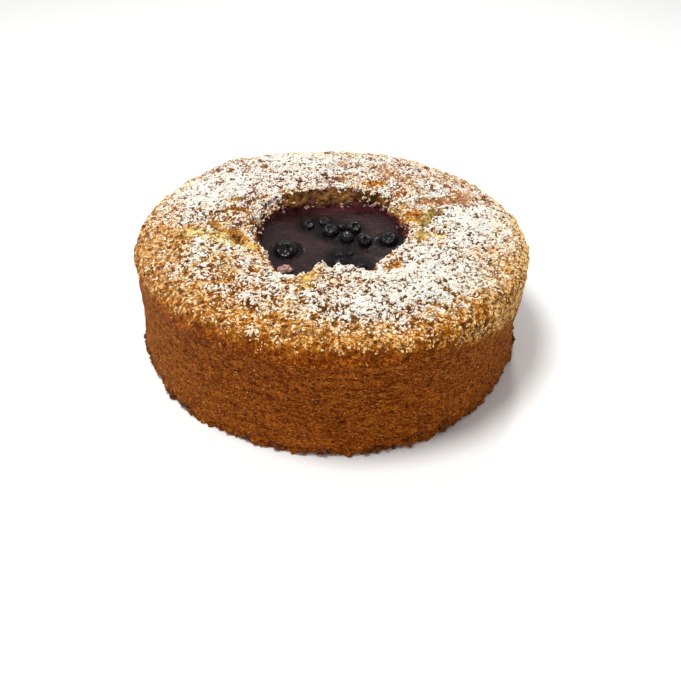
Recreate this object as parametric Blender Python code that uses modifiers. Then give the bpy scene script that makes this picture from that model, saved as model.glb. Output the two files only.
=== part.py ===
"""Round sponge cake with a fruit-filled crater in its top. Metres, +Z up, origin under its middle."""

from math import asin, cos, degrees, exp, hypot, pi, radians, sin, atan2

import bmesh
import bpy
from mathutils import Matrix, Vector

MM = 0.001

# Sizes of the sponge, in millimetres.
FOOT_RADIUS = 80.4
WAIST_RADIUS = 79.2
WAIST_HEIGHT = 26.0
SHOULDER_RADIUS = 79.7
SHOULDER_HEIGHT = 41.5
SHOULDER_ROUNDING = 8.6
CROWN_RADIUS = 50.0
CROWN_HEIGHT = 52.3
CROWN_FALL = 2.5          # from the crown to where the edge starts to round off
FOOT_ROUNDING = 1.8

# Sizes of the crater and of the fruit filling in it, in millimetres.
RIM_RADIUS = 34.5
RIM_HEIGHT = 50.6
WALL_RUN = 3.6
POOL_RADIUS = RIM_RADIUS - WALL_RUN
POOL_LEVEL = 44.0
CRATER_FLOOR = 31.0
GAP = 0.3

TURN_STEPS = 72
BERRY_SEGMENTS = 10
BERRY_RINGS = 7

# Where the rim stands in or out of a true circle: direction, spread, amount (degrees, degrees, mm).
RIM_SWELLS = [
    (-96, 6, -8.5),    # tongue of crust hanging over the pool
    (-79, 11, -5.0),
    (-116, 14, 4.5),   # notch beside the tongue
    (-62, 5, 2.5),
    (-38, 14, -3.3),
    (-54, 4, -1.3),
    (-152, 16, -2.6),
    (178, 14, -2.4),
    (138, 16, 1.6),
    (90, 14, -1.0),
    (48, 18, 2.8),
    (4, 9, 1.0),
]
# How much further, or less far, the wall runs in from the rim to the pool.
WALL_SWELLS = [
    (90, 16, 2.2),
    (56, 9, -2.0),
    (160, 18, 1.2),
    (10, 20, 0.8),
    (-90, 45, -0.6),
]
# Where the browned edge bulges out over the side.
LIP_SWELLS = [
    (0, 40, 2.9),
    (-75, 25, 0.5),
    (130, 40, 2.2),
]
# Where the whole side stands out or in.
SIDE_SWELLS = [
    (-62, 26, 1.8),
    (-95, 10, 0.8),
    (-118, 11, -0.9),
    (-150, 14, -1.2),
    (180, 20, 0.8),
    (154, 18, 0.8),
    (126, 15, 1.6),
    (17, 18, -0.5),
]
# Slow unevenness of the side: waves round the cake, phase, amount.
SIDE_WAVES = [
    (3, 20, 0.25),
    (5, 75, 0.2),
    (11, 10, 0.12),
]
# Risen and sunken areas of the top: x, y, radius, height.
MOUNDS = [
    (-38, 4, 9, 1.9),
    (35, -5, 6, 1.5),
    (42, -36, 22, 0.9),
    (-32, 46, 26, 1.1),
    (44, 42, 26, -0.9),
    (-10, -56, 20, 0.7),
    (64, 34, 11, 0.7),
    (-48, 60, 14, 1.1),
    (2, 74, 16, -0.8),
]
# Creases where the crust folded or split: start, end, half width, depth.
CREASES = [
    ((-51, 9), (-35, -12), 2.6, 2.2),
    ((32, 14), (46, -9), 3.0, 1.9),
    ((33, 22), (55, 20), 2.4, 1.3),
    ((23, -31), (28, -29), 2.2, 1.6),
]

# Berries, in millimetres: x, y, diameter, height above the pool, lean (degrees), direction of the lean.
BERRIES = [
    (-9.2, 12.6, 6.0, 2.7, 30, -60),
    (-2.0, 15.4, 5.6, 2.6, 30, -120),
    (0.5, 7.2, 7.2, 3.7, 25, -90),
    (5.2, 11.0, 4.0, 2.2, 35, 40),
    (10.6, 9.6, 6.4, 3.8, 30, -70),
    (7.6, 2.2, 6.0, 3.1, 40, -110),
    (15.1, -1.2, 5.8, 3.7, 18, -100),
    (25.0, 0.6, 8.4, 3.7, 12, -160),
    (-17.7, -7.0, 10.6, 4.2, 14, -80),
    (3.7, -10.4, 5.0, 1.4, 20, 0),
    (8.9, -9.6, 4.0, 1.2, 60, 90),
    (4.4, -17.0, 7.0, 2.4, 25, 120),
    (12.6, -19.4, 7.4, 2.2, 30, 30),
]
BERRY_FLATNESS = 0.9
CALYX_SPREAD = 34.0      # degrees from the berry's tip
CALYX_DEPTH = 0.16       # share of the berry's radius

# A lump of crumb that has fallen against the filling.
LUMP_PLACE = (-17.6, -21.8)
LUMP_SIZE = (6.6, 4.4, 4.0)
LUMP_RISE = 2.3


def swell(table, angle):
    """Sum of smooth humps round the cake at this angle in radians."""
    total = 0.0
    for centre, spread, amount in table:
        away = (degrees(angle) - centre + 180) % 360 - 180
        total += amount * exp(-(away / spread) ** 2)
    return total


def rim_radius(angle):
    return RIM_RADIUS + swell(RIM_SWELLS, angle)


def pool_radius(angle):
    return rim_radius(angle) - WALL_RUN - swell(WALL_SWELLS, angle)


def side_radius(angle):
    waves = sum(amount * sin(count * angle + radians(phase)) for count, phase, amount in SIDE_WAVES)
    return FOOT_RADIUS + swell(SIDE_SWELLS, angle) + waves


def smooth(low, high, value):
    share = min(max((value - low) / (high - low), 0.0), 1.0)
    return share * share * (3 - 2 * share)


def distance_to_line(x, y, start, end):
    run = Vector(end) - Vector(start)
    along = min(max((Vector((x, y)) - Vector(start)).dot(run) / run.length_squared, 0.0), 1.0)
    return (Vector((x, y)) - Vector(start) - along * run).length


def top_relief(x, y):
    """Height of the mounds and creases of the baked top, in millimetres."""
    height = 0.0
    for centre_x, centre_y, radius, amount in MOUNDS:
        height += amount * exp(-(hypot(x - centre_x, y - centre_y) / radius) ** 2)
    for start, end, half_width, depth in CREASES:
        height -= depth * exp(-(distance_to_line(x, y, start, end) / half_width) ** 2)
    return height


def bend_to_shape(point):
    """Moves a point of the evenly turned form to where the uneven cake has it."""
    radius, angle, z = hypot(point.x, point.y), atan2(point.y, point.x), point.z
    pool, rim = pool_radius(angle), rim_radius(angle)
    if radius <= POOL_RADIUS:
        bent = radius * pool / POOL_RADIUS
    elif radius <= RIM_RADIUS:
        bent = pool + (rim - pool) * (radius - POOL_RADIUS) / (RIM_RADIUS - POOL_RADIUS)
    else:
        share = (radius - RIM_RADIUS) / (FOOT_RADIUS - RIM_RADIUS)
        bent = rim + share * (side_radius(angle) - rim)
        lip = swell(LIP_SWELLS, angle) * smooth(22, 29, z) * smooth(CROWN_HEIGHT, 44, z)
        bent += lip * smooth(60, SHOULDER_RADIUS, radius)
    x, y = bent * cos(angle), bent * sin(angle)
    return Vector((x, y, z + top_relief(x, y) * smooth(POOL_LEVEL, RIM_HEIGHT, z)))


def arc(centre, radius, start, end, steps):
    """Points on an arc in the profile's plane, from one direction in degrees to another."""
    turns = [radians(start + (end - start) * step / steps) for step in range(steps + 1)]
    return [(centre[0] + radius * cos(turn), centre[1] + radius * sin(turn)) for turn in turns]


def bowl(inset=0.0, steps=6):
    """The crater below the pool's level, from its floor's middle out to the pool's edge."""
    width, depth = POOL_RADIUS - inset, POOL_LEVEL - CRATER_FLOOR - inset
    turns = [pi / 2 * step / steps for step in range(steps + 1)]
    return [(width * sin(turn), POOL_LEVEL - depth * cos(turn) ** 0.8) for turn in turns]


def crown_profile(steps=4):
    """From the rim over the gently domed top, to where the edge starts to round off."""
    inner, outer = (RIM_RADIUS + CROWN_RADIUS) / 2 + 2, SHOULDER_RADIUS - SHOULDER_ROUNDING
    points = [(RIM_RADIUS + 2.4, RIM_HEIGHT + 0.9)]
    for step in range(steps + 1):
        radius = inner + (outer - inner) * step / steps
        share = max(radius - CROWN_RADIUS, 0.0) / (outer - CROWN_RADIUS)
        points.append((radius, CROWN_HEIGHT - CROWN_FALL * share ** 2))
    return points


def cake_profile():
    """Half section of the cake, from the crater's middle over the top and down the side."""
    corner = SHOULDER_RADIUS - SHOULDER_ROUNDING
    shoulder = arc((corner, SHOULDER_HEIGHT), SHOULDER_ROUNDING, 62, 0, 4)
    foot = arc((FOOT_RADIUS - FOOT_ROUNDING, FOOT_ROUNDING), FOOT_ROUNDING, 0, -90, 3)
    wall = [(POOL_RADIUS + 0.45 * WALL_RUN, 48.0), (RIM_RADIUS, RIM_HEIGHT)]
    side = [
        (SHOULDER_RADIUS - 0.2, 36.0),
        (WAIST_RADIUS + 0.1, 31.0),
        (WAIST_RADIUS, WAIST_HEIGHT),
        (WAIST_RADIUS + 0.3, 17.0),
        (FOOT_RADIUS - 0.3, 8.0),
    ]
    return bowl() + wall + crown_profile() + shoulder + side + foot + [(RIM_RADIUS, 0), (0, 0)]


def filling_profile():
    """Half section of the fruit filling, from the middle of its surface to its lowest point."""
    surface = [(0, POOL_LEVEL), (10, POOL_LEVEL), (20, POOL_LEVEL), (27, POOL_LEVEL)]
    return surface + bowl(inset=GAP)[::-1]


def material(name, colour, roughness):
    made = bpy.data.materials.new(name)
    made.use_nodes = True
    shader = made.node_tree.nodes["Principled BSDF"]
    shader.inputs["Base Color"].default_value = (*colour, 1)
    shader.inputs["Roughness"].default_value = roughness
    return made


def add_object(name, mesh, finish, collection):
    made = bpy.data.objects.new(name, mesh)
    mesh.materials.clear()
    mesh.materials.append(finish)
    mesh.shade_smooth()
    collection.objects.link(made)
    return made


def turned_mesh(name, profile):
    """Turns a half section round the Z axis with a Screw modifier and keeps the result."""
    line = bpy.data.meshes.new(name + "_section")
    points = [(radius, 0, z) for radius, z in profile]
    line.from_pydata(points, [(i, i + 1) for i in range(len(points) - 1)], [])
    section = bpy.data.objects.new(name + "_section", line)
    bpy.context.scene.collection.objects.link(section)
    screw = section.modifiers.new("turn", "SCREW")
    screw.axis = "Z"
    screw.steps = TURN_STEPS
    screw.render_steps = TURN_STEPS
    screw.use_merge_vertices = True
    screw.merge_threshold = 0.0001
    evaluated = section.evaluated_get(bpy.context.evaluated_depsgraph_get())
    mesh = bpy.data.meshes.new_from_object(evaluated)
    bpy.data.objects.remove(section)
    bpy.data.meshes.remove(line)
    mesh.name = name
    return mesh


def uneven_mesh(name, profile):
    """A turned form, bent to the cake's uneven shape and brought to metres."""
    mesh = turned_mesh(name, profile)
    for vertex in mesh.vertices:
        vertex.co = bend_to_shape(vertex.co) * MM
    return mesh


def centre_on(meshes, leader):
    """Moves the meshes sideways so that the leader's outline is centred on the origin."""
    xs = [vertex.co.x for vertex in leader.vertices]
    ys = [vertex.co.y for vertex in leader.vertices]
    shift = Vector((-(min(xs) + max(xs)) / 2, -(min(ys) + max(ys)) / 2, 0))
    for mesh in meshes:
        mesh.transform(Matrix.Translation(shift))
    return shift


def berry_mesh(name, diameter):
    """A slightly flat round berry with the dimple and raised ring of its crown at the top."""
    ball = bmesh.new()
    bmesh.ops.create_uvsphere(ball, u_segments=BERRY_SEGMENTS, v_segments=BERRY_RINGS, radius=1)
    for vertex in ball.verts:
        from_tip = 90 - degrees(asin(max(-1.0, min(1.0, vertex.co.z))))
        ring = exp(-((from_tip - CALYX_SPREAD) / 14) ** 2)
        dimple = exp(-(from_tip / (0.55 * CALYX_SPREAD)) ** 2)
        vertex.co.z = vertex.co.z * BERRY_FLATNESS + 0.06 * ring - CALYX_DEPTH * dimple
    bmesh.ops.scale(ball, vec=(diameter * MM / 2,) * 3, verts=ball.verts)
    mesh = bpy.data.meshes.new(name)
    ball.to_mesh(mesh)
    ball.free()
    return mesh


def lump_mesh(name):
    """A small uneven lump of crumb."""
    ball = bmesh.new()
    bmesh.ops.create_icosphere(ball, subdivisions=2, radius=1)
    for vertex in ball.verts:
        x, y, z = vertex.co
        uneven = 1 + 0.09 * sin(4 * x + 1) * cos(3 * y) + 0.07 * sin(5 * z + 2 * x)
        vertex.co = [uneven * part * size * MM / 2 for part, size in zip((x, y, z), LUMP_SIZE)]
    mesh = bpy.data.meshes.new(name)
    ball.to_mesh(mesh)
    ball.free()
    return mesh


def grown_cutter(piece, reach, collection):
    """A copy of a piece, larger by the gap all round, that cuts its seat in the filling."""
    cutter = bpy.data.objects.new(piece.name + "_seat", piece.data.copy())
    cutter.matrix_world = piece.matrix_world @ Matrix.Scale(1 + GAP * MM / reach, 4)
    cutter.hide_render = True
    cutter.display_type = "WIRE"
    collection.objects.link(cutter)
    return cutter


def cut_seats(body, cutters):
    for cutter in cutters:
        cut = body.modifiers.new(cutter.name, "BOOLEAN")
        cut.operation = "DIFFERENCE"
        cut.object = cutter


def berry_pieces(shift, finish, collection):
    """The berries, each leaning its own way and partly sunk in the filling."""
    pieces = []
    for number, (x, y, diameter, rise, lean, towards) in enumerate(BERRIES, 1):
        name = f"berry_{number:02d}"
        berry = add_object(name, berry_mesh(name, diameter), finish, collection)
        z = POOL_LEVEL + rise - BERRY_FLATNESS * diameter / 2
        place = Matrix.Translation(Vector((x, y, z)) * MM + shift)
        turn = Matrix.Rotation(radians(towards), 4, "Z") @ Matrix.Rotation(radians(lean), 4, "Y")
        berry.matrix_world = place @ turn
        pieces.append((berry, diameter * MM / 2))
    return pieces


def build():
    for old in list(bpy.data.objects):
        bpy.data.objects.remove(old)
    cake_parts = bpy.data.collections.new("yogurt_cake")
    cutter_parts = bpy.data.collections.new("cutters")
    bpy.context.scene.collection.children.link(cake_parts)
    bpy.context.scene.collection.children.link(cutter_parts)

    crust = material("crust", (0.42, 0.19, 0.06), 0.85)
    jelly = material("fruit_filling", (0.03, 0.014, 0.02), 0.25)
    skin = material("berry_skin", (0.008, 0.007, 0.012), 0.3)
    crumb = material("crumb", (0.35, 0.17, 0.14), 0.85)

    cake_mesh = uneven_mesh("cake", cake_profile())
    filling_mesh = uneven_mesh("filling", filling_profile())
    shift = centre_on([cake_mesh, filling_mesh], cake_mesh)
    add_object("cake", cake_mesh, crust, cake_parts)
    filling = add_object("filling", filling_mesh, jelly, cake_parts)

    sunk = berry_pieces(shift, skin, cake_parts)
    lump = add_object("crumb_lump", lump_mesh("crumb_lump"), crumb, cake_parts)
    lump_z = POOL_LEVEL + LUMP_RISE - LUMP_SIZE[2] / 2
    turn = Matrix.Rotation(radians(25), 4, "Z")
    lump.matrix_world = Matrix.Translation(Vector((*LUMP_PLACE, lump_z)) * MM + shift) @ turn
    sunk.append((lump, min(LUMP_SIZE) * MM / 2))

    cutters = [grown_cutter(piece, reach, cutter_parts) for piece, reach in sunk]
    cut_seats(filling, cutters)


build()
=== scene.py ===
import math
from types import SimpleNamespace

import bpy
import numpy as np
from mathutils import Euler, Matrix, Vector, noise


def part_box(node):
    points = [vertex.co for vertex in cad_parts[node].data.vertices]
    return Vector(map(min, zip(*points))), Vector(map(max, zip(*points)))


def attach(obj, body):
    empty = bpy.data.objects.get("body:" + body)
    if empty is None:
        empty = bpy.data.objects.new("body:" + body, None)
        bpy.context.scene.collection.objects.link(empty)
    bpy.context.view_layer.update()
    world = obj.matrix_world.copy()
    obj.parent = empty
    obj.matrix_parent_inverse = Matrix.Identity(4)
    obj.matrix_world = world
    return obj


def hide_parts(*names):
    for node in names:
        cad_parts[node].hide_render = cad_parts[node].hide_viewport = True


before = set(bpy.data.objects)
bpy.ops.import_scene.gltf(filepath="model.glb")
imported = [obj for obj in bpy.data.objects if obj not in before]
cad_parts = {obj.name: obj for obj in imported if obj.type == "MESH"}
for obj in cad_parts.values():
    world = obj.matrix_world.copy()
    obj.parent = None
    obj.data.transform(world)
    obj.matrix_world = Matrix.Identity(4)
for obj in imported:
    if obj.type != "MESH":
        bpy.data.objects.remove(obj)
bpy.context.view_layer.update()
mm = 0.001
body = "root"
print("frame loaded:", len(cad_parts), "nodes")

# ---- the turned form of the cake, in millimetres, before it is bent to its uneven outline

cake = {
    "footRadius": 80.4,
    "waistRadius": 79.2,
    "waistHeight": 26.0,
    "shoulderRadius": 79.7,
    "shoulderHeight": 41.5,
    "shoulderRounding": 8.6,
    "shoulderStart": 62,       # degrees, where the top meets the rounding
    "crownRadius": 50.0,
    "crownHeight": 52.3,
    "crownFall": 2.5,
    "footRounding": 1.8,
    "rimRadius": 34.5,
    "rimHeight": 50.6,
    "wallRun": 3.6,
    "poolLevel": 44.0,
    "craterFloor": 31.0,
    "columns": 528,            # of the crust's mesh, round the cake
}
cake["poolRadius"] = cake["rimRadius"] - cake["wallRun"]

# Direction and spread in degrees, amount in mm.
rimSwells = [
    (-96, 6, -8.5),            # tongue of crust over the pool
    (-79, 11, -5.0),
    (-116, 14, 4.5),           # notch beside it
    (-62, 5, 3.6),
    (-38, 14, -2.5),
    (-54, 4, -0.8),
    (-152, 16, -2.6),
    (178, 14, -2.4),
    (138, 16, 0.6),
    (118, 9, -2.4),
    (90, 14, -1.0),
    (48, 18, 2.8),
    (4, 9, 1.0),
]
wallSwells = [(90, 16, 2.2), (56, 9, -2.0), (160, 18, 1.2), (10, 20, 0.8), (-90, 45, -0.6)]
lipSwells = [(0, 40, 2.9), (-75, 25, 0.5), (130, 40, 2.2)]
sideSwells = [
    (-62, 26, 1.8), (-95, 10, 0.8), (-118, 11, -0.9), (-150, 14, -1.2), (180, 20, 0.8), (154, 18, 0.8),
    (126, 15, 1.6), (17, 18, -0.5),
]
sideWaves = [(3, 20, 0.25), (5, 75, 0.2), (11, 10, 0.12)]  # count, phase, amount
mounds = [                     # x, y, radius, height
    (-38, 4, 9, 1.9), (35, -5, 6, 1.5), (42, -36, 22, 0.9), (-32, 46, 26, 1.1), (44, 42, 26, -0.9),
    (-10, -56, 20, 0.7), (64, 34, 11, 0.7), (-48, 60, 14, 1.1), (2, 74, 16, -0.8),
]
creases = [                    # start, end, half width, depth
    ((-51, 9), (-35, -12), 2.6, 2.2),
    ((32, 14), (46, -9), 3.0, 1.9),
    ((33, 22), (55, 20), 2.4, 1.3),
    ((23, -31), (28, -29), 2.2, 1.6),
]


def smooth(low, high, value):
    share = np.clip((value - low) / (high - low), 0.0, 1.0)
    return share * share * (3 - 2 * share)


def bell(away, width):
    return np.exp(-(away / width) ** 2)


def directions(count):
    return np.linspace(0, 2 * math.pi, count, endpoint=False)


def outward(angle):
    return np.stack([np.cos(angle), np.sin(angle)], -1)


def swell(table, angle):
    total = np.zeros_like(angle)
    for centre, width, amount in table:
        away = (np.degrees(angle) - centre + 180) % 360 - 180
        total += amount * bell(away, width)
    return total


def rimRadius(angle):
    return cake["rimRadius"] + swell(rimSwells, angle)


def poolRadius(angle):
    return rimRadius(angle) - cake["wallRun"] - swell(wallSwells, angle)


def sideRadius(angle):
    waves = sum(amount * np.sin(count * angle + math.radians(phase)) for count, phase, amount in sideWaves)
    return cake["footRadius"] + swell(sideSwells, angle) + waves


def distanceToLine(x, y, start, end):
    runX, runY = end[0] - start[0], end[1] - start[1]
    along = np.clip(((x - start[0]) * runX + (y - start[1]) * runY) / (runX ** 2 + runY ** 2), 0, 1)
    return np.hypot(x - start[0] - along * runX, y - start[1] - along * runY)


def awayFromPath(x, y, path):
    # Distance from the nearest stretch of the path, negative on its right-hand side.
    best = np.full_like(x, 1e6)
    for start, end in zip(path, path[1:]):
        away = distanceToLine(x, y, start, end)
        onLeft = (end[0] - start[0]) * (y - start[1]) - (end[1] - start[1]) * (x - start[0]) > 0
        best = np.where(away < np.abs(best), np.where(onLeft, away, -away), best)
    return best


def spots(x, y, table):
    # Each row holds the x, y and radius of a round place, and an amount that fades out beyond the radius.
    return sum(amount * bell(np.hypot(x - centreX, y - centreY), radius)
               for centreX, centreY, radius, amount in table)


def topRelief(x, y):
    height = spots(x, y, mounds)
    for start, end, halfWidth, depth in creases:
        height -= depth * bell(distanceToLine(x, y, start, end), halfWidth)
    return height


def bendToShape(radius, angle, z):
    # The even form's points, moved to where the uneven cake has them.
    pool, rim, side = poolRadius(angle), rimRadius(angle), sideRadius(angle)
    inPool = radius * pool / cake["poolRadius"]
    onWall = pool + (rim - pool) * (radius - cake["poolRadius"]) / cake["wallRun"]
    share = (radius - cake["rimRadius"]) / (cake["footRadius"] - cake["rimRadius"])
    lip = swell(lipSwells, angle) * smooth(22, 29, z) * smooth(cake["crownHeight"], 44, z)
    outside = rim + share * (side - rim) + lip * smooth(60, cake["shoulderRadius"], radius)
    bent = np.where(radius <= cake["rimRadius"], onWall, outside)
    bent = np.where(radius <= cake["poolRadius"], inPool, bent)
    x, y = bent * np.cos(angle), bent * np.sin(angle)
    return x, y, z + topRelief(x, y) * smooth(cake["poolLevel"], cake["rimHeight"], z)


def arcPoints(centre, radius, start, end, steps):
    turns = np.radians(np.linspace(start, end, steps + 1))
    return [(centre[0] + radius * math.cos(turn), centre[1] + radius * math.sin(turn)) for turn in turns]


def bowlPoints(inset=0.0, steps=12):
    width, depth = cake["poolRadius"] - inset, cake["poolLevel"] - cake["craterFloor"] - inset
    turns = np.linspace(0, math.pi / 2, steps + 1)
    return [(width * math.sin(turn), cake["poolLevel"] - depth * math.cos(turn) ** 0.8) for turn in turns]


def cakeStretches():
    # The half section in stretches, each with the spacing of its rings in mm.
    corner = cake["shoulderRadius"] - cake["shoulderRounding"]
    crown = [(cake["rimRadius"], cake["rimHeight"]), (cake["rimRadius"] + 2.4, cake["rimHeight"] + 0.9)]
    for radius in np.linspace((cake["rimRadius"] + cake["crownRadius"]) / 2 + 2, corner, 9):
        share = max(radius - cake["crownRadius"], 0.0) / (corner - cake["crownRadius"])
        crown.append((radius, cake["crownHeight"] - cake["crownFall"] * share ** 2))
    shoulder = arcPoints(
        (corner, cake["shoulderHeight"]), cake["shoulderRounding"], cake["shoulderStart"], 0, 12)
    side = [
        shoulder[-1],
        (cake["shoulderRadius"] - 0.2, 36.0),
        (cake["waistRadius"] + 0.1, 31.0),
        (cake["waistRadius"], cake["waistHeight"]),
        (cake["waistRadius"] + 0.3, 17.0),
        (cake["footRadius"] - 0.3, 8.0),
        (cake["footRadius"], cake["footRounding"]),
    ]
    foot = arcPoints(
        (cake["footRadius"] - cake["footRounding"], cake["footRounding"]), cake["footRounding"], 0, -90, 6)
    wall = [
        (cake["poolRadius"], cake["poolLevel"]),
        (cake["poolRadius"] + 0.45 * cake["wallRun"], 48.0),
        (cake["rimRadius"], cake["rimHeight"]),
    ]
    return [
        ("bowl", bowlPoints(), 4.6),
        ("wall", wall, 0.44),
        ("crown", crown, 0.62),
        ("shoulder", [crown[-1]] + shoulder, 0.62),
        ("side", side, 0.66),
        ("foot", foot, 0.55),
        ("under", [foot[-1], (0, 0)], 9.0),
    ]


def evenly(points, spacing):
    points = np.array(points, float)
    lengths = np.concatenate([[0], np.cumsum(np.hypot(*np.diff(points, axis=0).T))])
    stops = np.linspace(0, lengths[-1], max(2, round(lengths[-1] / spacing) + 1))
    return np.stack([np.interp(stops, lengths, points[:, axis]) for axis in (0, 1)], 1)


def noiseField(x, y, z, size, seed, flatten=1.0):
    # Smooth noise of about -1 to 1, with lumps of this size in mm; flatten squashes them in height.
    shift = 37.7 * seed
    places = np.stack([x / size + shift, y / size - shift, z * flatten / size + 0.5 * shift], -1)
    found = [noise.noise(place) for place in places.reshape(-1, 3).tolist()]
    return np.array(found).reshape(x.shape)


# ---- materials

def tint(red, green, blue):
    # A colour as seen on screen, 0 to 255, brought to the shader's linear light.
    parts = [value / 255 for value in (red, green, blue)]
    return tuple(p / 12.92 if p <= 0.04045 else ((p + 0.055) / 1.055) ** 2.4 for p in parts) + (1.0,)


def addNode(tree, kind, inputs=None, **settings):
    node = tree.nodes.new(kind)
    for name, value in settings.items():
        setattr(node, name, value)
    for socket, value in (inputs or {}).items():
        if isinstance(value, bpy.types.NodeSocket):
            tree.links.new(value, node.inputs[socket])
        else:
            node.inputs[socket].default_value = value
    return node


def calc(operation, first, second=0.0):
    return addNode(first.id_data, "ShaderNodeMath", {0: first, 1: second}, operation=operation).outputs[0]


def plus(first, second):
    return calc("ADD", first, second)


def minus(first, second):
    return calc("SUBTRACT", first, second)


def times(first, second):
    return calc("MULTIPLY", first, second)


def between(value, low, high):
    # 0 below low, 1 above high, smooth in between.
    return addNode(
        value.id_data, "ShaderNodeMapRange", {"Value": value, "From Min": low, "From Max": high},
        interpolation_type="SMOOTHSTEP").outputs[0]


def spread(value, low, high):
    # A share of 0 to 1 brought to low to high, and on beyond them.
    return addNode(
        value.id_data, "ShaderNodeMapRange", {"Value": value, "To Min": low, "To Max": high},
        clamp=False).outputs[0]


def layered(tree, colour, layers):
    # Colours laid over one another, each by its share.
    for share, over in layers:
        colour = addNode(tree, "ShaderNodeMix", {0: share, 6: colour, 7: over}, data_type="RGBA").outputs[2]
    return colour


def noiseTexture(vector, size, detail=2.0, roughness=0.5, distortion=0.0):
    return addNode(vector.id_data, "ShaderNodeTexNoise", {
        "Vector": vector, "Scale": 1 / size, "Detail": detail, "Roughness": roughness,
        "Distortion": distortion}).outputs[0]


def cellTexture(vector, size, feature="F1"):
    return addNode(
        vector.id_data, "ShaderNodeTexVoronoi", {"Vector": vector, "Scale": 1 / size}, feature=feature,
    ).outputs["Distance"]


def scaled(vector, scale):
    return addNode(
        vector.id_data, "ShaderNodeVectorMath", {0: vector, "Scale": scale}, operation="SCALE").outputs[0]


def together(x, y, z):
    return addNode(x.id_data, "ShaderNodeCombineXYZ", {0: x, 1: y, 2: z}).outputs[0]


def bumpFrom(height, strength, depth):
    return addNode(height.id_data, "ShaderNodeBump", {
        "Height": height, "Strength": strength, "Distance": depth * mm}).outputs[0]


def feed(inputs, values):
    for label, value in values.items():
        value.id_data.links.new(value, inputs[label])


def newGroup(name, inputs, outputs):
    kinds = {"value": "NodeSocketFloat", "colour": "NodeSocketColor", "vector": "NodeSocketVector"}
    tree = bpy.data.node_groups.new(name, "ShaderNodeTree")
    for way, sockets in (("INPUT", inputs), ("OUTPUT", outputs)):
        for label, kind in sockets.items():
            tree.interface.new_socket(label, in_out=way, socket_type=kinds[kind])
    return tree, tree.nodes.new("NodeGroupInput").outputs, tree.nodes.new("NodeGroupOutput").inputs


def useGroup(tree, group, inputs):
    return addNode(tree, "ShaderNodeGroup", inputs, node_tree=group).outputs


def newMaterial(name, values):
    made = bpy.data.materials.new(name)
    made.use_nodes = True
    shader = made.node_tree.nodes["Principled BSDF"]
    for socket, value in values.items():
        shader.inputs[socket].default_value = value
    return made, made.node_tree, shader.inputs


def inMillimetres(tree):
    place = addNode(tree, "ShaderNodeTexCoord").outputs["Object"]
    return addNode(tree, "ShaderNodeMapping", {"Vector": place, "Scale": (1 / mm,) * 3}).outputs[0]


def attribute(tree, name):
    return addNode(tree, "ShaderNodeAttribute", attribute_name=name).outputs["Fac"]


def patternPlace(tree):
    # The place in mm, with the height that the mesh stores for patterns, so that they lie flatter on the side.
    parts = addNode(tree, "ShaderNodeSeparateXYZ", {0: inMillimetres(tree)}).outputs
    height = attribute(tree, "patternHeight")
    return together(parts[0], parts[1], height)


spongeSizes = {"mottle": 7.0, "flecks": 2.5, "grain": 0.9, "pores": 1.9, "poreChange": 3.4}   # mm


def makeSpongeGroup():
    # Baked crumb: mottled in three colours, with dark pores; the height feeds a bump.
    tree, given, result = newGroup("spongeTexture", {
        "Vector": "vector", "Grain": "value", "Contrast": "value", "Paleness": "value", "Pores": "value",
        "Light": "colour", "Middle": "colour", "Dark": "colour", "Pore": "colour",
    }, {"Colour": "colour", "Height": "value"})
    place = addNode(tree, "ShaderNodeVectorMath", {0: given["Vector"], 1: given["Grain"]}, operation="DIVIDE")
    place = place.outputs[0]
    mottle = noiseTexture(place, spongeSizes["mottle"], roughness=0.6)
    flecks = noiseTexture(place, spongeSizes["flecks"], roughness=0.6, distortion=0.5)
    grain = noiseTexture(place, spongeSizes["grain"], roughness=0.7, distortion=0.6)
    cells = cellTexture(place, spongeSizes["pores"], feature="SMOOTH_F1")
    poreChange = noiseTexture(place, spongeSizes["poreChange"], detail=1.0)
    slow = plus(times(mottle, 0.25), times(flecks, 0.3))
    level = minus(plus(grain, slow), 0.775)          # about 0 on average
    level = plus(times(level, given["Contrast"]), given["Paleness"])
    reach = times(spread(poreChange, 0.05, 0.62), given["Pores"])
    pores = between(minus(cells, reach), 0.08, -0.06)
    colour = layered(tree, given["Middle"], [
        (between(level, -0.04, -0.22), given["Dark"]),
        (between(level, 0.06, 0.22), given["Light"]),
        (times(pores, 0.85), given["Pore"]),
    ])
    feed(result, {"Colour": colour, "Height": minus(grain, times(pores, 0.8))})
    return tree


sugarSizes = {"coarse": 1.3, "fine": 0.75, "veins": 2.2, "heaps": 3.6, "pits": 2.1, "pitChange": 4.5}   # mm


def pitField(vector):
    # 1 in the small open pores of the top crust, where no sugar stays; the same in both kinds of tree.
    cells = cellTexture(vector, sugarSizes["pits"])
    reach = spread(noiseTexture(vector, sugarSizes["pitChange"], detail=1.0), 0.08, 0.46)
    return between(minus(cells, reach), 0.04, -0.06)


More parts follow.
